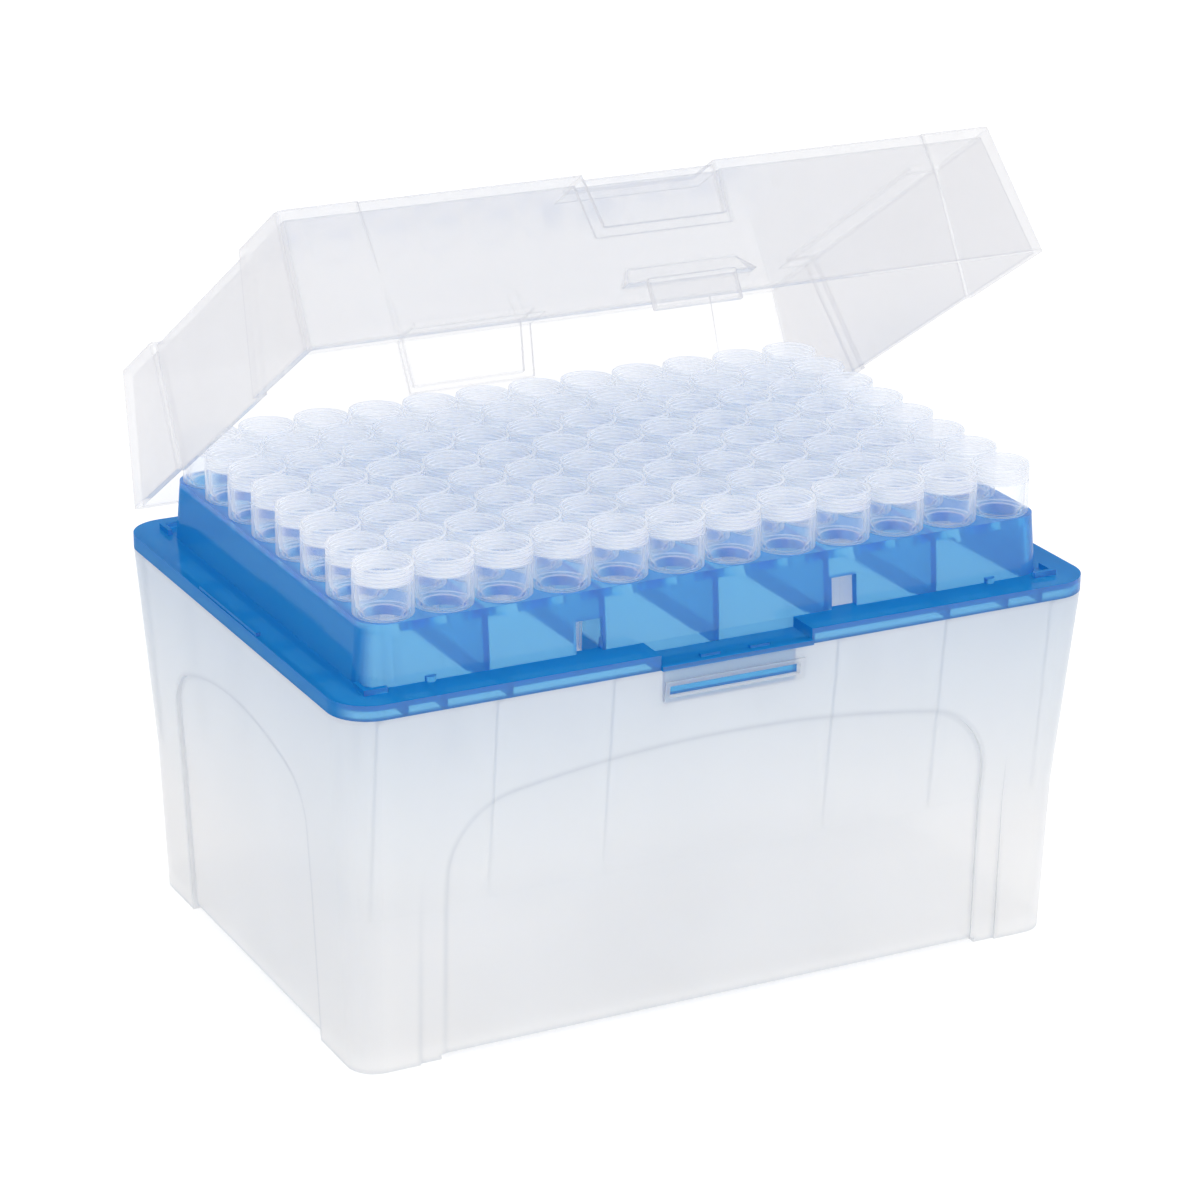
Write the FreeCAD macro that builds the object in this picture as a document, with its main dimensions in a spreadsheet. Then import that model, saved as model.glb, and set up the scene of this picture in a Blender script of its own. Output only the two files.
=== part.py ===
import FreeCAD, Part
import math
import os

import Sketcher

# A bench box of 96 pipette tips. The frame is millimetres, +Z up, +X along the long side and +Y towards
# the hinge. The origin is on the surface that the box stands on, below the middle of the tip grid.

V = FreeCAD.Vector

# Every driving dimension: its name, its value and what it measures.
SIZES = [
    # The grid that the tips stand in
    ("pitch", 9.0, "distance between neighbouring tips"),
    ("column_count", 12, "tips along X"),
    ("row_count", 8, "tips along Y"),
    # One tip
    ("tip_length", 70.0, "orifice to mouth"),
    ("collar_gap", 0.3, "between the collars of neighbouring tips"),
    ("collar_height", 7.55, "collar above the tray"),
    ("collar_wall", 0.55, "wall of the collar around its mouth"),
    ("mouth_depth", 6.4, "length of the mouth, the straight seat for the pipette's nozzle"),
    ("shank_radius", 3.3, "outside just below the collar"),
    ("shank_length", 20.0, "from the collar down to the start of the fine point"),
    ("point_radius", 2.75, "outside where the fine point starts"),
    ("end_radius", 0.55, "outside at the orifice"),
    ("orifice_radius", 0.25, "hole at the lower end"),
    ("tip_wall", 0.45, "wall of the shank"),
    # The base, a drafted tub that flares above its knee
    ("tip_clearance", 1.64, "tips' ends above the floor of the base"),
    ("knee_height", 23.8, "where the flare begins"),
    ("flare_x", 1.9, "lean of each short wall above the knee"),
    ("flare_y", 3.1, "lean of each long wall above the knee"),
    ("draft_x", 1.05, "lean of each short wall below the knee"),
    ("draft_y", 0.55, "lean of each long wall below the knee"),
    ("foot_corner", 4.2, "corner radius at the bench"),
    ("knee_corner", 4.8, "corner radius at the knee"),
    ("rim_corner", 5.5, "corner radius at the rim"),
    ("base_wall", 1.5, "wall of the base"),
    ("base_floor", 1.5, "floor of the base"),
    ("foot_height", 0.7, "corner feet below the floor"),
    ("front_foot_gap", 88.4, "distance between the feet, front and back"),
    ("arch_depth", 0.7, "how far the arched panels are sunk"),
    ("front_arch_width", 87.2, "arched panel, front and back"),
    ("front_arch_height", 43.3, "its crown above the bench"),
    ("front_crown_radius", 190.0, "its flat top curve"),
    ("front_shoulder_radius", 12.0, "its shoulders"),
    ("side_arch_width", 49.6, "arched panel, left and right"),
    ("side_arch_height", 44.0, "its crown above the bench"),
    ("side_crown_radius", 59.0, "its top curve"),
    ("side_shoulder_radius", 8.0, "its shoulders"),
    ("post_gap", 95.2, "distance between the raised corner posts, front and back"),
    ("post_height", 31.0, "where the posts fade into the wall"),
    ("post_depth", 0.45, "how far the posts stand out at the bench"),
    ("wall_rib_width", 0.9, "upright ribs inside the front and back walls"),
    ("wall_rib_depth", 1.3, "how far those ribs stand in"),
    # The catch between tray and base
    ("catch_width", 21.0, "slot in the front wall of the base"),
    ("catch_height", 1.8, "height of the slot"),
    ("catch_drop", 2.75, "rim of the base down to the slot"),
    ("catch_frame", 0.7, "raised frame around the slot"),
    ("catch_clearance", 0.25, "tray's barb inside the slot, and tongue beside the wall"),
    ("tongue_drop", 5.7, "rim of the base down to the tongue's end"),
    ("tongue_thickness", 1.0, "tongue that carries the barb"),
    # The tray
    ("platform_margin", 1.0, "foot of the raised platform outside the outer tips"),
    ("shelf_x", 5.3, "flange outside the platform, at each end"),
    ("shelf_y", 5.5, "flange outside the platform, front and back"),
    ("overhang_x", 0.05, "flange outside the base's rim, at each end"),
    ("overhang_y", 0.3, "flange outside the base's rim, front and back"),
    ("flange_corner", 6.0, "corner radius of the flange"),
    ("flange_height", 2.27, "flange skirt above the base's rim"),
    ("flange_plate", 1.1, "top plate of the flange"),
    ("skirt_wall", 1.2, "skirt around the flange"),
    ("platform_corner", 4.5, "corner radius of the platform"),
    ("platform_height", 8.87, "platform above the flange"),
    ("platform_draft", 0.75, "how far each platform wall leans in"),
    ("tray_wall", 1.2, "walls of the platform"),
    ("deck", 1.6, "plate with the tip holes"),
    ("hole_clearance", 0.2, "tip hole around the shank"),
    ("web_thickness", 0.9, "cross webs under the deck"),
    ("rib_thickness", 0.8, "ribs between skirt and platform"),
    ("rib_near", 35.05, "first rib from the middle"),
    ("rib_middle", 44.95, "second rib"),
    ("rib_far", 50.8, "third rib"),
    ("side_rib_spacing", 13.5, "ribs of the short sides"),
    ("window_width", 4.1, "windows in the platform's front wall"),
    ("window_height", 4.7, "height of those windows"),
    ("notch_width", 24.2, "gap in the flange for the lid's tab"),
    ("notch_floor", 0.7, "thin floor of that gap"),
    ("nib_length", 3.1, "nibs that the lid's tab snaps over"),
    ("nib_height", 0.4, "height of the nibs"),
    ("nib_width", 0.7, "thickness of nibs, bars and corner ridges"),
    ("nib_spacing", 7.9, "distance between the nibs"),
    ("bar_length", 21.6, "low bar along each short side of the flange"),
    ("bar_height", 0.5, "height of the bars"),
    ("stud_radius", 0.8, "small studs at the platform's foot"),
    ("ridge_length", 3.6, "corner ridges that centre the lid"),
    ("ridge_height", 0.8, "height of corner ridges and studs"),
    ("ridge_gap", 1.7, "ridge inside the lid's wall"),
    # The lid, drawn closed and then turned open about its hinge
    ("lid_inset_x", 1.7, "lid's rim inside the flange's edge, at each end"),
    ("lid_inset_y", 1.05, "lid's rim inside the flange's edge, front and back"),
    ("lid_corner", 1.5, "corner radius of the lid"),
    ("lid_inner_corner", 0.6, "corner radius inside the lid"),
    ("lid_headroom", 3.03, "inside of the closed lid above the tips"),
    ("lid_gap", 0.2, "closed lid above the flange"),
    ("lid_wall", 1.2, "wall of the lid"),
    ("lid_side_lean", 1.65, "how far the short walls lean in"),
    ("lid_end_lean", 3.5, "how far the long walls lean in, on average"),
    ("lid_top_shift", 0.4, "top of the lid nearer the front than its rim"),
    ("recess_depth", 0.95, "sunk panels and notches of the lid"),
    ("recess_drop", 0.55, "their depth on the top face"),
    ("recess_wall", 0.8, "thinner wall behind them, which clears the tips"),
    ("recess_reach", 7.0, "their reach in from the rim's outline"),
    ("panel_rim_width", 36.2, "side panel at the rim"),
    ("panel_top_width", 43.2, "side panel at the top"),
    ("notch_base_width", 19.2, "front notch at its lower edge"),
    ("notch_top_width", 20.8, "front notch at the top"),
    ("notch_rise", 12.2, "rim up to the notch"),
    ("brow_gap", 89.6, "distance between the lid's raised corners"),
    ("brow_rise", 8.4, "rim up to where those corners begin"),
    ("brow_depth", 0.4, "how far they stand out at the top"),
    ("lip_width", 20.4, "thumb lip"),
    ("lip_rise", 2.6, "rim up to the lip's underside"),
    ("lip_height", 2.6, "height of the lip"),
    ("lip_reach", 1.6, "how far the lip stands out"),
    ("tab_width", 13.8, "tab that hooks over the nibs"),
    ("tab_clearance", 0.27, "closed tab above the floor of the latch notch"),
    ("tab_thickness", 0.9, "thickness of the tab"),
    ("lid_open_angle", 32.5, "degrees between the closed lid and its place here"),
    # The hinge
    ("hinge_gap", 0.25, "knuckles behind the flange"),
    ("hinge_drop", 0.32, "axis below the top of the flange"),
    ("hinge_spacing", 60.0, "distance between the two hinges"),
    ("pin_radius", 1.5, "pin moulded between two ears"),
    ("pin_clearance", 0.05, "knuckle around the pin"),
    ("knuckle_radius", 2.4, "outside of knuckles and ears"),
    ("knuckle_width", 8.0, "knuckle along the pin"),
    ("knuckle_gap", 0.4, "between knuckle and ear"),
    ("knuckle_mouth", 2.5, "snap opening of the knuckle"),
    ("ear_thickness", 1.6, "each ear"),
    ("arm_height", 1.6, "arm from the lid's wall to its knuckle"),
]

doc = FreeCAD.newDocument("pipette_tip_box")
sheet = doc.addObject("Spreadsheet::Sheet", "sizes")
for line, (alias, value, note) in enumerate(SIZES, start=1):
    sheet.set(f"A{line}", alias)
    sheet.set(f"B{line}", str(value))
    sheet.set(f"C{line}", note)
    sheet.setAlias(f"B{line}", alias)
doc.recompute()

# Sizes that follow from others, from the grid of tips outwards and from the bench up
DERIVED = {
    "web_spacing": "2 * pitch",
    "collar_radius": "(pitch - collar_gap) / 2",
    "mouth_radius": "collar_radius - collar_wall",
    "platform_length": "pitch * (column_count - 1) + 2 * collar_radius + 2 * platform_margin",
    "platform_width": "pitch * (row_count - 1) + 2 * collar_radius + 2 * platform_margin",
    "flange_length": "platform_length + 2 * shelf_x",
    "flange_width": "platform_width + 2 * shelf_y",
    "rim_length": "flange_length - 2 * overhang_x",
    "rim_width": "flange_width - 2 * overhang_y",
    "knee_length": "rim_length - 2 * flare_x",
    "knee_width": "rim_width - 2 * flare_y",
    "foot_length": "knee_length - 2 * draft_x",
    "foot_width": "knee_width - 2 * draft_y",
    "lid_length": "flange_length - 2 * lid_inset_x",
    "lid_width": "flange_width - 2 * lid_inset_y",
    "floor_top": "foot_height + base_floor",
    "deck_top": "floor_top + tip_clearance + tip_length - collar_height",
    "flange_top": "deck_top - platform_height",
    "base_height": "flange_top - flange_height",
    "catch_top": "base_height - catch_drop",
    "notch_top": "base_height + notch_floor",
    "lid_rim": "flange_top + lid_gap",
    "lid_top": "deck_top + collar_height + lid_headroom + lid_wall",
    "lid_height": "lid_top - lid_rim",
    "hinge_y": "flange_width / 2 + hinge_gap + knuckle_radius",
    "hinge_z": "flange_top - hinge_drop",
}

NAMES = {alias for alias, _, _ in SIZES}


def linked(expression):
    """The expression with each size written as a reference to the sheet, and each derived one written out."""
    words = []
    word = ""
    for letter in expression + " ":
        if letter.isalnum() or letter == "_":
            word += letter
            continue
        if word in DERIVED:
            words.append(f"({linked(DERIVED[word])})")
        else:
            words.append(f"sizes.{word}" if word in NAMES else word)
        words.append(letter)
        word = ""
    return "".join(words).strip()


def size(expression):
    """The present value of an expression in sizes."""
    return float(sheet.evalExpression(linked(expression)))


def bind(feature, **properties):
    """Tie properties of a feature to expressions in sizes. Placement_Base_z stands for Placement.Base.z."""
    for name, expression in properties.items():
        path = name.replace("_", ".") if name.startswith("Placement") else name
        feature.setExpression(path, linked(expression))
    return feature


def add(kind, name, **properties):
    return bind(doc.addObject(kind, name), **properties)


def steps(count):
    """Whole steps either side of the middle, as many as a quarter of the count."""
    reach = int(count) // 4
    return range(-reach, reach + 1)


def box(name, x, y, z):
    """A block between two corners, each side given as a pair of expressions."""
    low = [side[0] for side in (x, y, z)]
    long = [f"({side[1]}) - ({side[0]})" for side in (x, y, z)]
    return add("Part::Box", name, Length=long[0], Width=long[1], Height=long[2],
               Placement_Base_x=low[0], Placement_Base_y=low[1], Placement_Base_z=low[2])


def mirrored(sign, low, high):
    """The span from low to high on the positive side, or its mirror image on the negative one."""
    return (low, high) if sign > 0 else (f"-({high})", f"-({low})")


def wedge(name, z, lower_x, upper_x, lower_y, upper_y):
    """An upright block whose spans in X and Y change evenly from its lower to its upper face."""
    block = doc.addObject("Part::Wedge", name)
    block.Placement = FreeCAD.Placement(V(0, 0, 0), FreeCAD.Rotation(V(1, 0, 0), 90))
    # The wedge's own Y points up and its own Z points along -Y.
    return bind(block, Ymin=z[0], Ymax=z[1],
                Xmin=lower_x[0], Xmax=lower_x[1], Zmin=f"-({lower_y[1]})", Zmax=f"-({lower_y[0]})",
                X2min=upper_x[0], X2max=upper_x[1], Z2min=f"-({upper_y[1]})", Z2max=f"-({upper_y[0]})")


def rod(name, radius, x, y, z):
    """A round bar along X."""
    bar = doc.addObject("Part::Cylinder", name)
    bar.Placement = FreeCAD.Placement(V(0, 0, 0), FreeCAD.Rotation(V(0, 1, 0), 90))
    return bind(bar, Radius=radius, Height=f"({x[1]}) - ({x[0]})",
                Placement_Base_x=x[0], Placement_Base_y=y, Placement_Base_z=z)


def fuse(name, *solids):
    joined = doc.addObject("Part::MultiFuse", name)
    joined.Shapes = list(solids)
    return joined


def cut(name, base, *tools):
    result = doc.addObject("Part::Cut", name)
    result.Base = base
    result.Tool = tools[0] if len(tools) == 1 else fuse(name + "_tools", *tools)
    return result


def rounded_rectangle(name, length, width, corner, height, shift="0"):
    """A level sketch of a rounded rectangle, centred on the Z axis unless it is shifted along Y."""
    half_x, half_y, radius = size(length) / 2, size(width) / 2, size(corner)
    flat_x, flat_y = half_x - radius, half_y - radius
    sketch = doc.addObject("Sketcher::SketchObject", name)
    for x1, y1, x2, y2 in ((-flat_x, -half_y, flat_x, -half_y), (half_x, -flat_y, half_x, flat_y),
                           (flat_x, half_y, -flat_x, half_y), (-half_x, flat_y, -half_x, -flat_y)):
        sketch.addGeometry(Part.LineSegment(V(x1, y1, 0), V(x2, y2, 0)))
    centres = ((flat_x, -flat_y), (flat_x, flat_y), (-flat_x, flat_y), (-flat_x, -flat_y))
    for turn, (x, y) in enumerate(centres):
        start = math.radians(90 * turn - 90)
        circle = Part.Circle(V(x, y, 0), V(0, 0, 1), radius)
        sketch.addGeometry(Part.ArcOfCircle(circle, start, start + math.pi / 2))
    rules = [Sketcher.Constraint("Tangent", side, 2, 4 + side, 1) for side in range(4)]
    rules += [Sketcher.Constraint("Tangent", 4 + side, 2, (side + 1) % 4, 1) for side in range(4)]
    rules += [Sketcher.Constraint("Equal", 4, other) for other in (5, 6, 7)]
    rules += [Sketcher.Constraint("Horizontal", 2), Sketcher.Constraint("Vertical", 3),
              Sketcher.Constraint("Symmetric", 0, 1, 0, 2, -2),
              Sketcher.Constraint("Symmetric", 1, 1, 1, 2, -1)]
    sketch.addConstraint(rules)
    for label, rule in (("Across", Sketcher.Constraint("DistanceX", 3, 1, 1, 1, 2 * half_x)),
                        ("Deep", Sketcher.Constraint("DistanceY", 0, 1, 2, 1, 2 * half_y)),
                        ("Corner", Sketcher.Constraint("Radius", 4, radius))):
        sketch.renameConstraint(sketch.addConstraint(rule), label)
    for label, expression in (("Across", length), ("Deep", width), ("Corner", corner)):
        sketch.setExpression("Constraints." + label, linked(expression))
    return bind(sketch, Placement_Base_z=height, Placement_Base_y=shift)


def loft(name, *sections):
    skin = doc.addObject("Part::Loft", name)
    skin.Sections = list(sections)
    skin.Solid = True
    skin.Ruled = True
    return skin


def slab(name, sketch, height):
    """A level sketch raised to a plate."""
    plate = doc.addObject("Part::Extrusion", name)
    plate.Base = sketch
    plate.DirMode = "Normal"
    plate.Solid = True
    return bind(plate, LengthFwd=height)


def arch(name, turn, width, height, crown_radius, shoulder_radius, reach):
    """An upright arch with round shoulders under a flat crown, extruded both ways from the Z axis."""
    half, top = size(width) / 2, size(height)
    crown, shoulder = size(crown_radius), size(shoulder_radius)
    crown_y = top - crown
    shoulder_x = half - shoulder
    shoulder_y = crown_y + math.sqrt((crown - shoulder) ** 2 - shoulder_x ** 2)
    lean = math.atan2(shoulder_y - crown_y, shoulder_x)
    upright = V(0, 0, 1)
    sketch = doc.addObject("Sketcher::SketchObject", name + "_outline")
    sketch.addGeometry(Part.LineSegment(V(-half, 0, 0), V(half, 0, 0)))
    sketch.addGeometry(Part.LineSegment(V(half, 0, 0), V(half, shoulder_y, 0)))
    right = Part.Circle(V(shoulder_x, shoulder_y, 0), upright, shoulder)
    sketch.addGeometry(Part.ArcOfCircle(right, 0, lean))
    sketch.addGeometry(Part.ArcOfCircle(Part.Circle(V(0, crown_y, 0), upright, crown), lean, math.pi - lean))
    left = Part.Circle(V(-shoulder_x, shoulder_y, 0), upright, shoulder)
    sketch.addGeometry(Part.ArcOfCircle(left, math.pi - lean, math.pi))
    sketch.addGeometry(Part.LineSegment(V(-half, shoulder_y, 0), V(-half, 0, 0)))
    sketch.addConstraint([
        Sketcher.Constraint("Coincident", 0, 2, 1, 1), Sketcher.Constraint("Tangent", 1, 2, 2, 1),
        Sketcher.Constraint("Tangent", 2, 2, 3, 1), Sketcher.Constraint("Tangent", 3, 2, 4, 1),
        Sketcher.Constraint("Tangent", 4, 2, 5, 1), Sketcher.Constraint("Coincident", 5, 2, 0, 1),
        Sketcher.Constraint("Vertical", 1), Sketcher.Constraint("Vertical", 5),
        Sketcher.Constraint("Symmetric", 0, 1, 0, 2, -2), Sketcher.Constraint("PointOnObject", 0, 1, -1),
        Sketcher.Constraint("Equal", 2, 4), Sketcher.Constraint("PointOnObject", 3, 3, -2)])
    for label, rule, expression in (
            ("Across", Sketcher.Constraint("DistanceX", 0, 1, 0, 2, 2 * half), width),
            ("Shoulder", Sketcher.Constraint("Radius", 2, shoulder), shoulder_radius),
            ("Crown", Sketcher.Constraint("Radius", 3, crown), crown_radius),
            ("Sunk", Sketcher.Constraint("DistanceY", 3, 3, -1, 1, -crown_y), f"{crown_radius} - {height}")):
        sketch.renameConstraint(sketch.addConstraint(rule), label)
        sketch.setExpression("Constraints." + label, linked(expression))
    stand = FreeCAD.Rotation(V(1, 0, 0), 90)
    sketch.Placement = FreeCAD.Placement(V(0, 0, 0), FreeCAD.Rotation(upright, turn).multiply(stand))
    prism = doc.addObject("Part::Extrusion", name)
    prism.Base = sketch
    prism.DirMode = "Normal"
    prism.Solid = True
    prism.Symmetric = True
    return bind(prism, LengthFwd=reach)


def base_form(name, inset, floor):
    """The tub's outline as a solid, every side drawn in by the inset, with its bottom at the floor height."""
    return loft(name, *[
        rounded_rectangle(f"{name}_{level}", f"{level}_length - 2 * ({inset})",
                          f"{level}_width - 2 * ({inset})", f"{level}_corner - ({inset})", height)
        for level, height in (("foot", floor), ("knee", "knee_height"), ("rim", "base_height"))])


def base_box():
    """The tub: skin with arches cut right through, sunk panels put back, hollowed, then feet and catch."""
    skin = cut("base_skin", base_form("base_outline", "0", "0"),
               arch("front_arch", 0, "front_arch_width", "front_arch_height", "front_crown_radius",
                    "front_shoulder_radius", "rim_width + arch_depth"),
               arch("side_arch", 90, "side_arch_width", "side_arch_height", "side_crown_radius",
                    "side_shoulder_radius", "rim_length + arch_depth"))
    solid = fuse("base_solid", skin, base_form("base_core", "arch_depth", "0"))
    hollow = base_form("base_hollow", "base_wall", "floor_top")
    between_x = box("feet_gap_x", ("-front_foot_gap / 2", "front_foot_gap / 2"),
                    ("-rim_width / 2", "rim_width / 2"), ("0", "foot_height"))
    between_y = box("feet_gap_y", ("-rim_length / 2", "rim_length / 2"),
                    ("-side_arch_width / 2", "side_arch_width / 2"), ("0", "foot_height"))
    # Between the corner posts the wall leans in a little below the height where they fade.
    slope = "((rim_width - knee_width) / 2 / (base_height - knee_height))"
    fade = f"knee_width / 2 + {slope} * (post_height - knee_height)"
    fades = []
    for side, sign in (("back", 1), ("front", -1)):
        span = ("-post_gap / 2", "post_gap / 2")
        fades.append(wedge(f"{side}_lower_fade", ("0", "knee_height"), span, span,
                           mirrored(sign, "foot_width / 2 - post_depth", "rim_width / 2"),
                           mirrored(sign, "knee_width / 2 - post_depth * (1 - knee_height / post_height)",
                                    "rim_width / 2")))
        fades.append(wedge(f"{side}_upper_fade", ("knee_height", "post_height"), span, span,
                           mirrored(sign, "knee_width / 2 - post_depth * (1 - knee_height / post_height)",
                                    "rim_width / 2"),
                           mirrored(sign, fade, "rim_width / 2")))
    shell = cut("base_shell", solid, hollow, between_x, between_y, *fades)
    ribs = []
    for side, sign in (("back", 1), ("front", -1)):
        for place in steps(size("column_count")):
            if place == 0:
                continue
            middle = f"{place} * web_spacing"
            span = (f"{middle} - wall_rib_width / 2", f"{middle} + wall_rib_width / 2")
            ribs.append(wedge(f"{side}_wall_rib", ("knee_height", "base_height - wall_rib_width"), span, span,
                              mirrored(sign, "knee_width / 2 - base_wall - wall_rib_depth",
                                       "knee_width / 2 - base_wall / 2"),
                              mirrored(sign, "rim_width / 2 - base_wall - wall_rib_depth",
                                       "rim_width / 2 - base_wall / 2")))
    # The raised frame around the slot follows the wall's flare.
    frame_high = "catch_top + catch_frame"
    frame_low = "catch_top - catch_height - catch_frame"
    frame_span = ("-catch_width / 2 - catch_frame", "catch_width / 2 + catch_frame")
    frame = wedge("catch_frame_plate", (frame_low, frame_high), frame_span, frame_span,
                  mirrored(-1, "rim_width / 2 - base_wall", f"rim_width / 2 - {slope} * (base_height - "
                           f"({frame_low})) + catch_frame / 2"),
                  mirrored(-1, "rim_width / 2 - base_wall", f"rim_width / 2 - {slope} * (base_height - "
                           f"({frame_high})) + catch_frame / 2"))
    slot = box("catch_slot", ("-catch_width / 2", "catch_width / 2"),
               ("-rim_width / 2 - catch_frame", "-rim_width / 2 + 2 * base_wall + wall_rib_depth"),
               ("catch_top - catch_height", "catch_top"))
    return cut("base_box", fuse("base_ribbed", shell, frame, *ribs), slot)


def tip_holes():
    """A round cutter at every place of the grid."""
    body = doc.addObject("PartDesign::Body", "tip_holes")
    body.AllowCompound = True
    hole = body.newObject("PartDesign::AdditiveCylinder", "tip_hole")
    bind(hole, Radius="shank_radius + hole_clearance", Height="2 * deck")
    grid = body.newObject("PartDesign::LinearPattern", "tip_hole_grid")
    axes = {feature.Role: feature for feature in body.Origin.OriginFeatures}
    grid.Originals = [hole]
    grid.Direction = (axes["X_Axis"], [""])
    grid.Direction2 = (axes["Y_Axis"], [""])
    bind(grid, Length="pitch * (column_count - 1)", Occurrences="column_count",
         Length2="pitch * (row_count - 1)", Occurrences2="row_count")
    body.Tip = grid
    return bind(body, Placement_Base_x="-pitch * (column_count - 1) / 2",
                Placement_Base_y="-pitch * (row_count - 1) / 2", Placement_Base_z="deck_top - 1.5 * deck")


def hinge_side(name, sign):
    """Two ears on the flange's back edge with a moulded pin between them."""
    middle = f"{sign} * hinge_spacing / 2"
    inner = "(knuckle_width / 2 + knuckle_gap)"
    across = (f"{middle} - {inner} - ear_thickness / 2", f"{middle} + {inner} + ear_thickness / 2")
    parts = [rod(f"{name}_pin", "pin_radius", across, "hinge_y", "hinge_z")]
    for side in (1, -1):
        low, high = mirrored(side, inner, f"{inner} + ear_thickness")
        span = (f"{middle} + {low}", f"{middle} + {high}")
        parts.append(rod(f"{name}_ear", "knuckle_radius", span, "hinge_y", "hinge_z"))
        parts.append(box(f"{name}_ear_root", span, ("flange_width / 2 - skirt_wall", "hinge_y"),
                         ("base_height", "flange_top")))
    return parts


def flange_ribs():
    """Ribs between the skirt and the platform, and the webs under the deck."""
    ribs = []
    under = ("base_height", "flange_top - flange_plate / 2")
    for sign in (1, -1):
        for place in ("rib_near", "rib_middle", "rib_far"):
            for side in (1, -1):
                middle = f"{sign} * {place}"
                span = (f"{middle} - rib_thickness / 2", f"{middle} + rib_thickness / 2")
                ribs.append(box("flange_rib", span,
                                mirrored(side, "platform_width / 2 - tray_wall / 2",
                                         "flange_width / 2 - skirt_wall / 2"), under))
        for place in steps(size("row_count")):
            middle = f"{place} * side_rib_spacing"
            ribs.append(box("side_rib", mirrored(sign, "platform_length / 2 - tray_wall / 2",
                                                 "flange_length / 2 - skirt_wall / 2"),
                            (f"{middle} - rib_thickness / 2", f"{middle} + rib_thickness / 2"), under))
    for place in steps(size("column_count - 2")):
        middle = f"{place} * web_spacing"
        ribs.append(box("deck_web", (f"{middle} - web_thickness / 2", f"{middle} + web_thickness / 2"),
                        ("-platform_width / 2 + platform_draft + tray_wall / 2",
                         "platform_width / 2 - platform_draft - tray_wall / 2"),
                        ("base_height", "deck_top - deck / 2")))
    return ribs


def flange_details():
    """Low bars, studs and corner ridges on top of the flange."""
    details = []
    for sign in (1, -1):
        details.append(box("side_bar", mirrored(sign, "(lid_length + flange_length) / 4",
                                                "(lid_length + flange_length) / 4 + nib_width"),
                           ("-bar_length / 2", "bar_length / 2"), ("flange_top - flange_plate / 2",
                                                                   "flange_top + bar_height")))
        for side in (1, -1):
            stud = add("Part::Cylinder", "foot_stud", Radius="stud_radius",
                       Height="ridge_height + flange_plate / 2", Placement_Base_x=f"{sign} * rib_middle",
                       Placement_Base_y=f"{side} * platform_width / 2",
                       Placement_Base_z="flange_top - flange_plate / 2")
            details.append(stud)
            # Each ridge is an L just inside the lid's corner.
            end_x = "lid_length / 2 - lid_wall - ridge_gap"
            end_y = "lid_width / 2 - lid_wall - ridge_gap"
            rise = ("flange_top - flange_plate / 2", "flange_top + ridge_height")
            details.append(box("corner_ridge_x", mirrored(sign, f"{end_x} - ridge_length", end_x),
                               mirrored(side, f"{end_y} - nib_width", end_y), rise))
            details.append(box("corner_ridge_y", mirrored(sign, f"{end_x} - nib_width", end_x),
                               mirrored(side, f"{end_y} - ridge_length", end_y), rise))
    return details


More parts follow.
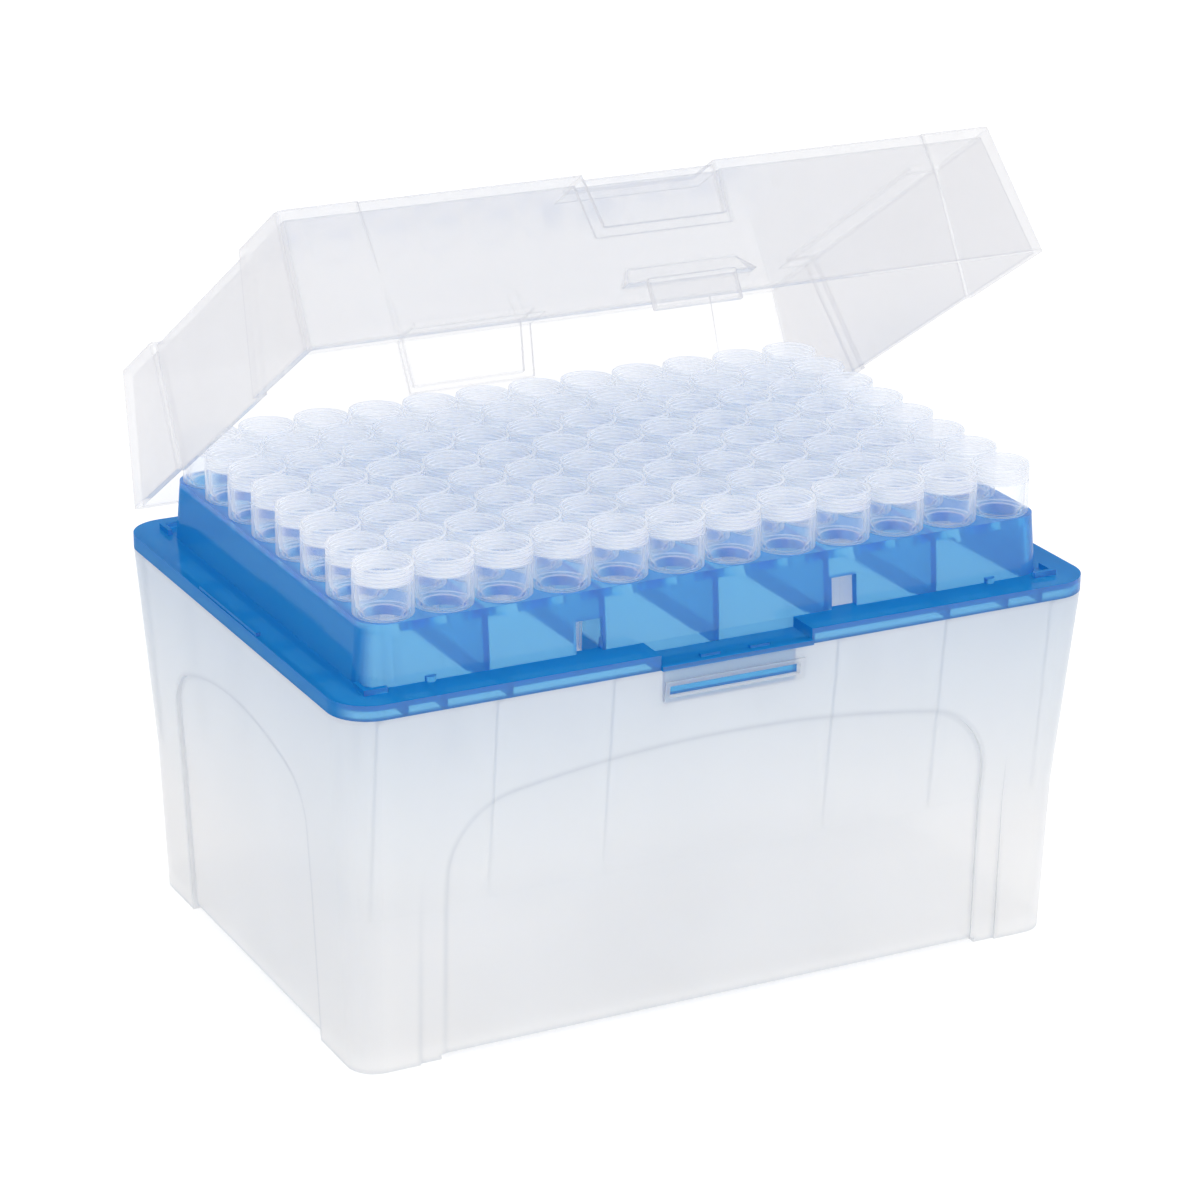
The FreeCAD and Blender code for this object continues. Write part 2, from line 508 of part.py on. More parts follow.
def tip_tray():
    """The tray: flange with its skirt, hollow platform, webs, tip holes, latch notch and catch tongue."""
    flange = slab("flange_block", rounded_rectangle("flange_outline", "flange_length", "flange_width",
                                                    "flange_corner", "base_height"), "flange_height")
    platform = loft("platform_block",
                    rounded_rectangle("platform_foot", "platform_length", "platform_width",
                                      "platform_corner", "flange_top"),
                    rounded_rectangle("platform_top", "platform_length - 2 * platform_draft",
                                      "platform_width - 2 * platform_draft",
                                      "platform_corner - platform_draft", "deck_top"))
    channel = cut("flange_channel",
                  slab("channel_block", rounded_rectangle("channel_outline", "flange_length - 2 * skirt_wall",
                                                          "flange_width - 2 * skirt_wall",
                                                          "flange_corner - skirt_wall", "base_height"),
                       "flange_height - flange_plate"),
                  slab("channel_core", rounded_rectangle("channel_inner", "platform_length", "platform_width",
                                                         "platform_corner", "base_height"), "flange_height"))
    room = fuse("platform_room",
                slab("room_below", rounded_rectangle("room_foot", "platform_length - 2 * tray_wall",
                                                     "platform_width - 2 * tray_wall",
                                                     "platform_corner - tray_wall", "base_height"),
                     "flange_height"),
                loft("room_above",
                     rounded_rectangle("room_middle", "platform_length - 2 * tray_wall",
                                       "platform_width - 2 * tray_wall",
                                       "platform_corner - tray_wall", "flange_top"),
                     rounded_rectangle("room_top", "platform_length - 2 * tray_wall - 2 * platform_draft",
                                       "platform_width - 2 * tray_wall - 2 * platform_draft",
                                       "platform_corner - tray_wall - platform_draft", "deck_top - deck")))
    shell = cut("tray_shell", fuse("tray_solid", flange, platform), channel, room)
    notch = box("latch_notch", ("-notch_width / 2", "notch_width / 2"),
                ("-flange_width / 2 - skirt_wall", "-platform_width / 2"),
                ("base_height", "flange_top + flange_plate"))
    windows = []
    cheeks = []
    for sign in (1, -1):
        windows.append(box("front_window",
                           mirrored(sign, "web_spacing + web_thickness / 2",
                                    "web_spacing + web_thickness / 2 + window_width"),
                           ("-platform_width / 2 - tray_wall", "-platform_width / 2 + 2 * tray_wall"),
                           ("flange_top", "flange_top + window_height")))
        cheeks.append(box("notch_cheek", mirrored(sign, "notch_width / 2", "notch_width / 2 + rib_thickness"),
                          ("-flange_width / 2 + skirt_wall / 2", "-platform_width / 2 + tray_wall / 2"),
                          ("base_height", "flange_top - flange_plate / 2")))
    blank = cut("tray_blank", fuse("tray_ribbed", shell, *flange_ribs(), *flange_details(), *cheeks),
                tip_holes(), notch, *windows)
    floor = box("notch_floor_plate", ("-notch_width / 2", "notch_width / 2"),
                ("-lid_width / 2 - lip_reach", "-platform_width / 2 + tray_wall / 2"),
                ("base_height", "notch_top"))
    tongue_front = "(rim_width / 2 - base_wall - 3 * catch_clearance)"
    tongue = box("catch_tongue", ("-catch_width / 2", "catch_width / 2"),
                 mirrored(-1, f"{tongue_front} - tongue_thickness", tongue_front),
                 ("base_height - tongue_drop", "notch_top"))
    barb = box("catch_barb", ("-catch_width / 2 + catch_clearance", "catch_width / 2 - catch_clearance"),
               mirrored(-1, f"{tongue_front} - tongue_thickness / 2", "rim_width / 2 - base_wall / 2"),
               ("catch_top - catch_height + catch_clearance", "catch_top - catch_clearance"))
    nib_y = "lid_width / 2 - catch_clearance"
    nibs = []
    for sign in (1, -1):
        span = mirrored(sign, "(nib_spacing - nib_length) / 2", "(nib_spacing + nib_length) / 2")
        nibs.append(box("latch_nib", span, mirrored(-1, nib_y, f"{nib_y} + nib_width"),
                        ("base_height", "notch_top + nib_height")))
    return fuse("tip_tray", blank, floor, tongue, barb, *nibs,
                *hinge_side("left_hinge", -1), *hinge_side("right_hinge", 1))


def lid_form(name, inset, recess_inset, corner):
    """The closed lid as a solid, its walls and top drawn in by the inset and its sunk panels by their own."""
    rim = ("lid_length", "lid_width")
    top = ("lid_length - 2 * lid_side_lean", "lid_width - 2 * lid_end_lean")

    def stack(label, depth, drop):
        return loft(f"{name}_{label}", *[
            rounded_rectangle(f"{name}_{label}_{end}", f"{outline[0]} - 2 * ({depth})",
                              f"{outline[1]} - 2 * ({depth})", corner, height, shift)
            for end, outline, height, shift in (("rim", rim, "lid_rim", "0"),
                                                ("top", top, f"lid_top - ({drop})", "-lid_top_shift"))])

    recesses = []
    for sign in (1, -1):
        side = mirrored(sign, f"lid_length / 2 - recess_reach - ({inset})", "lid_length / 2 + lid_wall")
        recesses.append(wedge(f"{name}_side_panel", ("lid_rim", "lid_top"), side, side,
                              (f"-panel_rim_width / 2 - ({inset})", f"panel_rim_width / 2 + ({inset})"),
                              (f"-panel_top_width / 2 - ({inset})", f"panel_top_width / 2 + ({inset})")))
        end = mirrored(sign, f"lid_width / 2 - recess_reach - lid_end_lean - ({inset})",
                       "lid_width / 2 + lid_wall")
        recesses.append(wedge(f"{name}_end_notch", (f"lid_rim + notch_rise - ({inset})", "lid_top"),
                              (f"-notch_base_width / 2 - ({inset})", f"notch_base_width / 2 + ({inset})"),
                              (f"-notch_top_width / 2 - ({inset})", f"notch_top_width / 2 + ({inset})"),
                              end, end))
    return fuse(f"{name}_form", cut(f"{name}_cut", stack("skin", inset, inset), *recesses),
                stack("core", f"{recess_inset} + recess_depth", f"{recess_inset} + recess_drop"))


def lid_brows():
    """Cutters that leave the upper corners of the long walls standing a little proud."""
    cutters = []
    lean = "(lid_end_lean / lid_height)"
    for side, sign, shift in (("back", 1, "-lid_top_shift"), ("front", -1, "lid_top_shift")):
        span = ("-brow_gap / 2", "brow_gap / 2")
        low = f"lid_width / 2 - {lean} * brow_rise + ({shift}) * brow_rise / lid_height"
        high = f"lid_width / 2 - lid_end_lean + ({shift}) - brow_depth"
        cutters.append(wedge(f"{side}_brow", ("lid_rim + brow_rise", "lid_top"), span, span,
                             mirrored(sign, low, "lid_width / 2 + lid_wall"),
                             mirrored(sign, high, "lid_width / 2 + lid_wall")))
    return cutters


def lid():
    """The lid: drafted shell with sunk panels, thumb lip, latch tab and two snap-on knuckles, turned open."""
    outer = cut("lid_outer", lid_form("lid_outside", "0", "0", "lid_corner"), *lid_brows())
    shell = cut("lid_shell", outer, lid_form("lid_inside", "lid_wall", "recess_wall", "lid_inner_corner"))
    lip_low = "lid_rim + lip_rise"
    lip_high = f"{lip_low} + lip_height"
    inside = "lid_width / 2 - lid_wall"
    lip = wedge("thumb_lip", (lip_low, lip_high), ("-lip_width / 2", "lip_width / 2"),
                ("-lip_width / 2 + lip_reach", "lip_width / 2 - lip_reach"),
                mirrored(-1, inside, "lid_width / 2 + lip_reach"),
                mirrored(-1, inside, "lid_width / 2 - lid_wall / 2"))
    tab = box("latch_tab", ("-tab_width / 2", "tab_width / 2"),
              mirrored(-1, "lid_width / 2 + lip_reach - tab_thickness", "lid_width / 2 + lip_reach"),
              ("notch_top + tab_clearance", f"{lip_low} + tab_thickness / 2"))
    knuckles = []
    openings = []
    for sign in (1, -1):
        middle = f"{sign} * hinge_spacing / 2"
        span = (f"{middle} - knuckle_width / 2", f"{middle} + knuckle_width / 2")
        knuckles.append(rod("knuckle", "knuckle_radius", span, "hinge_y", "hinge_z"))
        knuckles.append(box("knuckle_arm", span, ("lid_width / 2 - lid_wall / 2", "hinge_y"),
                            ("lid_rim + lid_gap", "lid_rim + lid_gap + arm_height")))
        openings.append(rod("knuckle_bore", "pin_radius + pin_clearance", span, "hinge_y", "hinge_z"))
        openings.append(box("knuckle_opening", span,
                            ("hinge_y - knuckle_mouth / 2", "hinge_y + knuckle_mouth / 2"),
                            ("hinge_z - knuckle_radius", "hinge_z")))
    piece = cut("lid", fuse("lid_with_fittings", shell, lip, tab, *knuckles), *openings)
    # Opening turns the lid about the hinge's axis, so the placement carries that axis back to its own place.
    turn = size("lid_open_angle")
    piece.Placement = FreeCAD.Placement(V(0, 0, 0), FreeCAD.Rotation(V(-1, 0, 0), turn))
    piece.setExpression("Placement.Rotation.Angle", linked("lid_open_angle * 1 deg"))
    angle = "lid_open_angle * 1 deg"
    return bind(piece,
                Placement_Base_y=f"hinge_y * (1 - cos({angle})) - hinge_z * sin({angle})",
                Placement_Base_z=f"hinge_z * (1 - cos({angle})) + hinge_y * sin({angle})")


def tips_column(number):
    """One column of tips: a tip's section turned about its axis, then repeated along Y."""
    body = doc.addObject("PartDesign::Body", f"tips_column_{number:02d}")
    body.AllowCompound = True
    planes = {feature.Role: feature for feature in body.Origin.OriginFeatures}
    sketch = body.newObject("Sketcher::SketchObject", f"tip_section_{number:02d}")
    sketch.AttachmentSupport = [(planes["XZ_Plane"], "")]
    sketch.MapMode = "FlatFace"
    shoulder = "(tip_length - collar_height)"
    point = f"({shoulder} - shank_length)"
    corners = [("orifice_radius", "0"), ("end_radius", "0"), ("point_radius", point),
               ("shank_radius", shoulder), ("collar_radius", shoulder), ("collar_radius", "tip_length"),
               ("mouth_radius", "tip_length"), ("mouth_radius", "tip_length - mouth_depth"),
               ("shank_radius - tip_wall", shoulder), ("point_radius - tip_wall", point)]
    places = [V(size(x), size(y), 0) for x, y in corners]
    for at, place in enumerate(places):
        sketch.addGeometry(Part.LineSegment(place, places[(at + 1) % len(places)]))
    last = len(corners) - 1
    sketch.addConstraint([Sketcher.Constraint("Coincident", at, 2, (at + 1) % (last + 1), 1)
                          for at in range(last + 1)])
    for at, (x, y) in enumerate(corners):
        across = sketch.addConstraint(Sketcher.Constraint("DistanceX", -1, 1, at, 1, places[at].x))
        sketch.renameConstraint(across, f"Radius{at}")
        sketch.setExpression(f"Constraints.Radius{at}", linked(x))
        if y == "0":
            sketch.addConstraint(Sketcher.Constraint("PointOnObject", at, 1, -1))
        else:
            up = sketch.addConstraint(Sketcher.Constraint("DistanceY", -1, 1, at, 1, places[at].y))
            sketch.renameConstraint(up, f"Height{at}")
            sketch.setExpression(f"Constraints.Height{at}", linked(y))
    turned = body.newObject("PartDesign::Revolution", f"tip_{number:02d}")
    turned.Profile = sketch
    turned.ReferenceAxis = (sketch, ["V_Axis"])
    turned.Angle = 360
    row = body.newObject("PartDesign::LinearPattern", f"tip_row_{number:02d}")
    row.Originals = [turned]
    row.Direction = (planes["Y_Axis"], [""])
    bind(row, Length="pitch * (row_count - 1)", Occurrences="row_count")
    body.Tip = row
    return bind(body, Placement_Base_x=f"pitch * ({number} - 1 - (column_count - 1) / 2)",
                Placement_Base_y="-pitch * (row_count - 1) / 2",
                Placement_Base_z="deck_top + collar_height - tip_length")


pieces = [base_box(), tip_tray(), lid()]
pieces += [tips_column(number + 1) for number in range(int(size("column_count")))]
doc.recompute()

for feature in doc.Objects:
    if "Invalid" in feature.State or "Error" in feature.State:
        raise RuntimeError(f"{feature.Label} failed: {feature.State}")
for piece in pieces:
    if piece.Shape.isNull() or not piece.Shape.isValid():
        raise RuntimeError(f"{piece.Label} has no valid shape")

os.makedirs("parts", exist_ok=True)
for piece in pieces:
    piece.Shape.exportStep(f"parts/{piece.Label}.step")
    extent = piece.Shape.BoundBox
    print(f"{piece.Label:18s} solids {len(piece.Shape.Solids):3d}  "
          f"volume {piece.Shape.Volume / 1000:8.2f} cm3  "
          f"x {extent.XMin:7.2f} {extent.XMax:7.2f}  y {extent.YMin:7.2f} {extent.YMax:7.2f}  "
          f"z {extent.ZMin:7.2f} {extent.ZMax:7.2f}")
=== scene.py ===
import math

import bmesh
import bpy
from mathutils import Matrix, Vector


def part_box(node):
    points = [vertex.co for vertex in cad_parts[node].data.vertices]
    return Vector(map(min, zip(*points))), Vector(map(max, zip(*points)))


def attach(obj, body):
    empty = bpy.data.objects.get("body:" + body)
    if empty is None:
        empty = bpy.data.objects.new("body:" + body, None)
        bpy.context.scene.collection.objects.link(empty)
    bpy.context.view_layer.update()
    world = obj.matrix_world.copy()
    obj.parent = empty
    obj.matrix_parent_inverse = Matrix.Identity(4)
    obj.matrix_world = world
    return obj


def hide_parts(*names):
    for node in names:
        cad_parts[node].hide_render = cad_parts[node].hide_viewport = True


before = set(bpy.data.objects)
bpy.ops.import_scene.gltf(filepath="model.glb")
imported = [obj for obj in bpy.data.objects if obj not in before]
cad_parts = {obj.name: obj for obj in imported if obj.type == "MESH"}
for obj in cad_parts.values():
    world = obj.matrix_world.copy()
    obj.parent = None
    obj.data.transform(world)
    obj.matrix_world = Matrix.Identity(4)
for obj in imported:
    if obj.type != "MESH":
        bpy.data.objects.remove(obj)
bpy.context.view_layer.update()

MM = 0.001
COLUMNS = sorted(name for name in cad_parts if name.startswith("tips_column_"))
ROWS = 8
COLUMN_LOW, COLUMN_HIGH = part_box(COLUMNS[0])
# Heights of a tip's rim and point, of the tray's deck and of the top of its flange
RIM_Z = COLUMN_HIGH.z
END_Z = COLUMN_LOW.z
DECK_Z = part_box("tip_tray")[1].z
FLANGE_Z = 57.42 * MM
# Half length of the tray's platform inside its end walls
INSIDE = 51.8 * MM
# The rings moulded around a tip's collar, below its rim
RING_COUNT = 4
RING_PITCH = 0.55 * MM
RING_DEPTH = 0.14 * MM
RING_TOP = 0.35 * MM
BAND_Z = RIM_Z - RING_TOP - RING_COUNT * RING_PITCH

# Mottling: noise cells a metre, and the noise values between which the colour varies
MOTTLE_SCALE = 40.0
MOTTLE_RANGE = (0.35, 0.65)
# How far the roughness varies to either side with the mottling
ROUGHNESS_SPREAD = 0.05
PLASTIC_IOR = 1.49
# Share of light that thin clear plastic mirrors, face on and where it turns away
LEAST_SHINE = 0.03
MOST_SHINE = 0.5
SHINE_STEEPNESS = 4.0
FILM_GLOSS_ROUGHNESS = 0.08

# ---------------------------------------------------------------- materials


def new_material(name):
    material = bpy.data.materials.new(name)
    material.use_nodes = True
    tree = material.node_tree
    tree.nodes.clear()
    output = tree.nodes.new("ShaderNodeOutputMaterial")
    return material, tree, output


def node(tree, kind, **settings):
    made = tree.nodes.new(kind)
    for name, value in settings.items():
        if name in made.inputs:
            made.inputs[name].default_value = value
        else:
            setattr(made, name, value)
    return made


def link(tree, source, target):
    tree.links.new(source, target)


def mottled(tree, place, color, spread):
    """A colour that varies faintly over the moulding, and the cloud that varies it."""
    cloud = node(tree, "ShaderNodeTexNoise", Scale=MOTTLE_SCALE, Detail=1.0, Roughness=0.5)
    link(tree, place.outputs["Object"], cloud.inputs["Vector"])
    tint = node(tree, "ShaderNodeValToRGB")
    dark, light = tint.color_ramp.elements
    dark.position, light.position = MOTTLE_RANGE
    dark.color = [*(channel * (1 - spread) for channel in color), 1]
    light.color = [*(min(1.0, channel * (1 + spread / 2)) for channel in color), 1]
    link(tree, cloud.outputs["Fac"], tint.inputs["Fac"])
    return tint.outputs["Color"], cloud.outputs["Fac"]


def spread_of(tree, value, low, high, start=0.0, end=1.0):
    """The value carried from start...end to low...high."""
    made = node(tree, "ShaderNodeMapRange")
    made.inputs["From Min"].default_value = start
    made.inputs["From Max"].default_value = end
    made.inputs["To Min"].default_value = low
    made.inputs["To Max"].default_value = high
    link(tree, value, made.inputs["Value"])
    return made.outputs["Result"]


def compared(tree, operation, first, second):
    made = node(tree, "ShaderNodeMath", operation=operation)
    link(tree, first, made.inputs[0])
    link(tree, second, made.inputs[1])
    return made.outputs["Value"]


def larger(tree, first, second):
    return compared(tree, "MAXIMUM", first, second)


def smaller(tree, first, second):
    return compared(tree, "MINIMUM", first, second)


def blended(tree, factor, first, second):
    """Two colours blended; each is a tuple or a socket."""
    made = node(tree, "ShaderNodeMix", data_type="RGBA")
    link(tree, factor, made.inputs[0])
    for slot, color in ((6, first), (7, second)):
        if isinstance(color, tuple):
            made.inputs[slot].default_value = [*color, 1]
        else:
            link(tree, color, made.inputs[slot])
    return made.outputs[2]


def mixed(tree, factor, first, second):
    """Two shaders mixed; the factor is a number or a socket."""
    made = tree.nodes.new("ShaderNodeMixShader")
    if isinstance(factor, float):
        made.inputs["Fac"].default_value = factor
    else:
        link(tree, factor, made.inputs["Fac"])
    link(tree, first, made.inputs[1])
    link(tree, second, made.inputs[2])
    return made.outputs["Shader"]


def turning_away(tree, power):
    """0 face on and 1 where the surface turns away, the later the higher the power."""
    turning = node(tree, "ShaderNodeLayerWeight", Blend=0.5)
    steep = node(tree, "ShaderNodeMath", operation="POWER")
    link(tree, turning.outputs["Facing"], steep.inputs[0])
    steep.inputs[1].default_value = power
    return steep.outputs["Value"]


def edge_level(tree, width):
    """1 on flat faces and 0 in a narrow line along corners and steps, where plastic is thicker and a painted
    shade goes.
    """
    corner = node(tree, "ShaderNodeBevel", samples=2, Radius=width)
    shape = tree.nodes.new("ShaderNodeNewGeometry")
    dot = node(tree, "ShaderNodeVectorMath", operation="DOT_PRODUCT")
    link(tree, corner.outputs["Normal"], dot.inputs[0])
    link(tree, shape.outputs["True Normal"], dot.inputs[1])
    return spread_of(tree, dot.outputs["Value"], 0.0, 1.0, 0.85, 1.0)


def faces_along(tree, axis, start, end):
    """1 on surfaces that face along the axis and 0 on those that don't, going over between the two shares."""
    shape = tree.nodes.new("ShaderNodeNewGeometry")
    split = tree.nodes.new("ShaderNodeSeparateXYZ")
    link(tree, shape.outputs["Normal"], split.inputs["Vector"])
    share = node(tree, "ShaderNodeMath", operation="ABSOLUTE")
    link(tree, split.outputs[axis], share.inputs[0])
    return spread_of(tree, share.outputs["Value"], 0.0, 1.0, start, end)


def place_level(tree, place, axis, start, end):
    """0 up to the start and 1 from the end on, by distance from the middle along the axis."""
    split = tree.nodes.new("ShaderNodeSeparateXYZ")
    link(tree, place.outputs["Object"], split.inputs["Vector"])
    away = node(tree, "ShaderNodeMath", operation="ABSOLUTE")
    link(tree, split.outputs[axis], away.inputs[0])
    return spread_of(tree, away.outputs["Value"], 0.0, 1.0, start, end)


def body_shader(tree, color, cloud, roughness, transmission):
    """The plastic itself, with uneven gloss."""
    shader = tree.nodes.new("ShaderNodeBsdfPrincipled")
    shader.inputs["Transmission Weight"].default_value = transmission
    shader.inputs["IOR"].default_value = PLASTIC_IOR
    link(tree, color, shader.inputs["Base Color"])
    low, high = max(0.0, roughness - ROUGHNESS_SPREAD), roughness + ROUGHNESS_SPREAD
    link(tree, spread_of(tree, cloud, low, high), shader.inputs["Roughness"])
    return shader.outputs["BSDF"]


def soaking(tree, color):
    """Light that soaks through and comes out scattered on the far side."""
    soak = tree.nodes.new("ShaderNodeBsdfTranslucent")
    link(tree, color, soak.inputs["Color"])
    return soak.outputs["BSDF"]


def tinted_plastic(name, color, depth_color, depth, milk_color, end_shade_color, roughness, haze, end_haze,
                   edge_width, edge_shade_color, spread):
    """The tray's clear coloured plastic, which deepens with its thickness.

    Its haze is deep on the end walls and the flange, where its colour is painted a darker blue as painted shade,
    and pale on what faces front and back and on the deck.
    """
    material, tree, output = new_material(name)
    place = node(tree, "ShaderNodeTexCoord")
    tint, cloud = mottled(tree, place, color, spread)
    # Corners and steps get a line of painted shade in a darker blue.
    body = body_shader(tree, blended(tree, edge_level(tree, edge_width), edge_shade_color, tint), cloud, roughness, 1.0)
    below_flange = spread_of(tree, place_level(tree, place, "Z", FLANGE_Z, FLANGE_Z + 0.5 * MM), 1.0, 0.0)
    outside = larger(tree, place_level(tree, place, "X", INSIDE, INSIDE + 0.5 * MM), below_flange)
    pale = larger(tree, faces_along(tree, "Y", 0.35, 0.75),
                  place_level(tree, place, "Z", DECK_Z - MM, DECK_Z - 0.4 * MM))
    end = smaller(tree, outside, spread_of(tree, pale, 1.0, 0.0))
    # Painted shade: the end walls and the flange are painted a darker blue than the rest.
    milk_and_painted_shade = blended(tree, end, milk_color, end_shade_color)
    film = tree.nodes.new("ShaderNodeBsdfDiffuse")
    link(tree, milk_and_painted_shade, film.inputs["Color"])
    milk = mixed(tree, 0.5, soaking(tree, milk_and_painted_shade), film.outputs["BSDF"])
    link(tree, mixed(tree, spread_of(tree, end, haze, end_haze), body, milk), output.inputs["Surface"])
    volume = node(tree, "ShaderNodeVolumeAbsorption", Color=(*depth_color, 1), Density=depth)
    link(tree, volume.outputs["Volume"], output.inputs["Volume"])
    return material


def frosted_plastic(name, color, blur, ior, gloss, haze, edge_width, edge_shade_color, painted_shade_color, shade_from,
                    shade_to, spread):
    """A thin frosted wall: its near face scatters and blurs, its far face lets light straight out.

    Its colour goes over to a painted shade of what stands inside it, from the one height to the other.
    """
    material, tree, output = new_material(name)
    place = node(tree, "ShaderNodeTexCoord")
    tint, cloud = mottled(tree, place, color, spread)
    # Painted shade: darker and bluer towards the top, standing in for the tips and the tray inside.
    unshaded_below = spread_of(tree, place_level(tree, place, "Z", shade_from, shade_to), 1.0, 0.0)
    tint = blended(tree, unshaded_below, painted_shade_color, tint)
    # Corners and steps get a line of painted shade.
    tint = blended(tree, edge_level(tree, edge_width), edge_shade_color, tint)
    body = tree.nodes.new("ShaderNodeBsdfPrincipled")
    link(tree, tint, body.inputs["Base Color"])
    link(tree, spread_of(tree, cloud, gloss, gloss + 2 * ROUGHNESS_SPREAD), body.inputs["Roughness"])
    through = node(tree, "ShaderNodeBsdfRefraction", Roughness=blur, IOR=ior)
    link(tree, tint, through.inputs["Color"])
    solid = mixed(tree, 0.5, body.outputs["BSDF"], soaking(tree, tint))
    near = mixed(tree, haze, through.outputs["BSDF"], solid)
    far = node(tree, "ShaderNodeBsdfTransparent", Color=(1, 1, 1, 1))
    shape = tree.nodes.new("ShaderNodeNewGeometry")
    link(tree, mixed(tree, shape.outputs["Backfacing"], near, far.outputs["BSDF"]), output.inputs["Surface"])
    return material


def haze_by_height(tree, place, levels):
    """The haze at a height; each level is a height and the haze there, from the lowest up."""
    split = tree.nodes.new("ShaderNodeSeparateXYZ")
    link(tree, place.outputs["Object"], split.inputs["Vector"])
    lowest, highest = levels[0][0], levels[-1][0]
    steps = node(tree, "ShaderNodeValToRGB")
    link(tree, spread_of(tree, split.outputs["Z"], 0.0, 1.0, lowest, highest), steps.inputs["Fac"])
    stops = steps.color_ramp.elements
    for at, (height, amount) in enumerate(levels):
        position = (height - lowest) / (highest - lowest)
        if at in (0, len(levels) - 1):
            stop = stops[0 if at == 0 else -1]
            stop.position = position
        else:
            stop = stops.new(position)
        stop.color = [amount, amount, amount, 1]
    return steps.outputs["Color"]


def film_plastic(name, color, roughness, clear, edge, steepness, spread, levels=(), edge_width=0.0,
                 edge_shade_color=(1, 1, 1), edge_haze=0.0, end_haze=0.0, glass_color=(1, 1, 1), open_to_light=False):
    """Thin clear plastic: clear face on, hazier where it turns away, and as hazy as its levels say.

    Scattered light goes straight through plastic that is open to light.
    """
    material, tree, output = new_material(name)
    place = node(tree, "ShaderNodeTexCoord")
    tint, cloud = mottled(tree, place, color, spread)
    haze = spread_of(tree, turning_away(tree, steepness), clear, edge)
    if levels:
        haze = larger(tree, haze, haze_by_height(tree, place, levels))
    if edge_width:
        level = edge_level(tree, edge_width)
        # Corners and steps get a line of painted shade, and more haze.
        tint = blended(tree, level, edge_shade_color, tint)
        haze = larger(tree, haze, spread_of(tree, level, edge_haze, 0.0))
    if end_haze:
        haze = larger(tree, haze, spread_of(tree, faces_along(tree, "X", 0.5, 0.9), 0.0, end_haze))
    body = body_shader(tree, tint, cloud, roughness, 0.0)
    glass = node(tree, "ShaderNodeBsdfTransparent", Color=(*glass_color, 1))
    gloss = node(tree, "ShaderNodeBsdfAnisotropic", Color=(1, 1, 1, 1), Roughness=FILM_GLOSS_ROUGHNESS)
    film = mixed(tree, haze, glass.outputs["BSDF"], mixed(tree, 0.5, body, soaking(tree, tint)))
    shine = spread_of(tree, turning_away(tree, SHINE_STEEPNESS), LEAST_SHINE, MOST_SHINE)
    seen = mixed(tree, shine, film, gloss.outputs["BSDF"])
    if open_to_light:
        path = tree.nodes.new("ShaderNodeLightPath")
        seen = mixed(tree, path.outputs["Is Diffuse Ray"], seen, glass.outputs["BSDF"])
    link(tree, seen, output.inputs["Surface"])
    return material


# Painted shade: each edge colour lines corners and steps, the base's shade colour darkens the base towards its
# top, and the tray's end colour darkens its end walls and flange.
FROSTED = frosted_plastic("frosted_plastic", (0.960, 0.950, 0.936), blur=0.28, ior=1.3, gloss=0.25, haze=0.68,
                          edge_width=1.3 * MM, edge_shade_color=(0.70, 0.72, 0.75), painted_shade_color=(0.83, 0.87, 0.90),
                          shade_from=18 * MM, shade_to=54 * MM, spread=0.02)
BLUE = tinted_plastic("blue_plastic", (0.62, 0.92, 1.0), depth_color=(0.06, 0.78, 0.98), depth=600.0,
                      milk_color=(0.20, 0.56, 0.95), end_shade_color=(0.02, 0.34, 0.73), roughness=0.10, haze=0.38,
                      end_haze=0.75, edge_width=0.45 * MM, edge_shade_color=(0.03, 0.45, 0.85), spread=0.03)
CLEAR = film_plastic("clear_plastic", (0.79, 0.775, 0.79), roughness=0.3, clear=0.13, edge=0.50, steepness=2.0,
                     spread=0.02, edge_width=0.75 * MM, edge_shade_color=(0.52, 0.53, 0.58), edge_haze=0.42,
                     end_haze=0.50, open_to_light=True)

# Haze of a tip's wall, of a ring on its collar and of the band between the rings
CLEAR_HAZE = 0.02
RING_HAZE = 0.85
BAND_HAZE = 0.45


def tip_levels():
    """How hazy a tip is from its shank up: hazy below the tray, clear above it, then ringed up to its rim."""
    levels = [(DECK_Z - 4 * MM, 0.22), (DECK_Z - 3 * MM, 0.06), (DECK_Z - 0.1 * MM, 0.06),
              (DECK_Z + 0.1 * MM, 0.5), (DECK_Z + 0.3 * MM, CLEAR_HAZE),
              (BAND_Z - 0.1 * MM, CLEAR_HAZE), (BAND_Z, BAND_HAZE)]
    for ring in range(RING_COUNT):
        middle = BAND_Z + (ring + 0.4) * RING_PITCH
        levels += [(middle - 0.14 * MM, BAND_HAZE), (middle, RING_HAZE), (middle + 0.14 * MM, BAND_HAZE)]
    return levels + [(RIM_Z - 0.30 * MM, 0.12), (RIM_Z - 0.15 * MM, 0.75), (RIM_Z, 0.75)]


TIP = film_plastic("tip_plastic", (0.97, 0.975, 1.0), roughness=0.12, clear=CLEAR_HAZE, edge=0.85,
                   steepness=2.5, spread=0.02, levels=tip_levels(), glass_color=(0.975, 0.985, 1.0))


def dress(name, material):
    """Give a CAD node its material."""
    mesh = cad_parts[name].data
    mesh.materials.clear()
    mesh.materials.append(material)


dress("base_box", FROSTED)
dress("tip_tray", BLUE)
dress("lid", CLEAR)

# ---------------------------------------------------------------- tips

SEGMENTS = 32
COLLAR_RADIUS = (COLUMN_HIGH.x - COLUMN_LOW.x) / 2
FIRST_ROW = COLUMN_LOW.y + COLLAR_RADIUS
PITCH = (COLUMN_HIGH.y - COLUMN_LOW.y - 2 * COLLAR_RADIUS) / (ROWS - 1)

SHANK_RADIUS = 3.3 * MM
MOUTH_RADIUS = 3.8 * MM
MOUTH_DEPTH = 6.4 * MM
POINT_RADIUS = 2.75 * MM
SHANK_LENGTH = 20.0 * MM
TIP_END_RADIUS = 0.55 * MM
ORIFICE_RADIUS = 0.25 * MM
TIP_WALL = 0.45 * MM


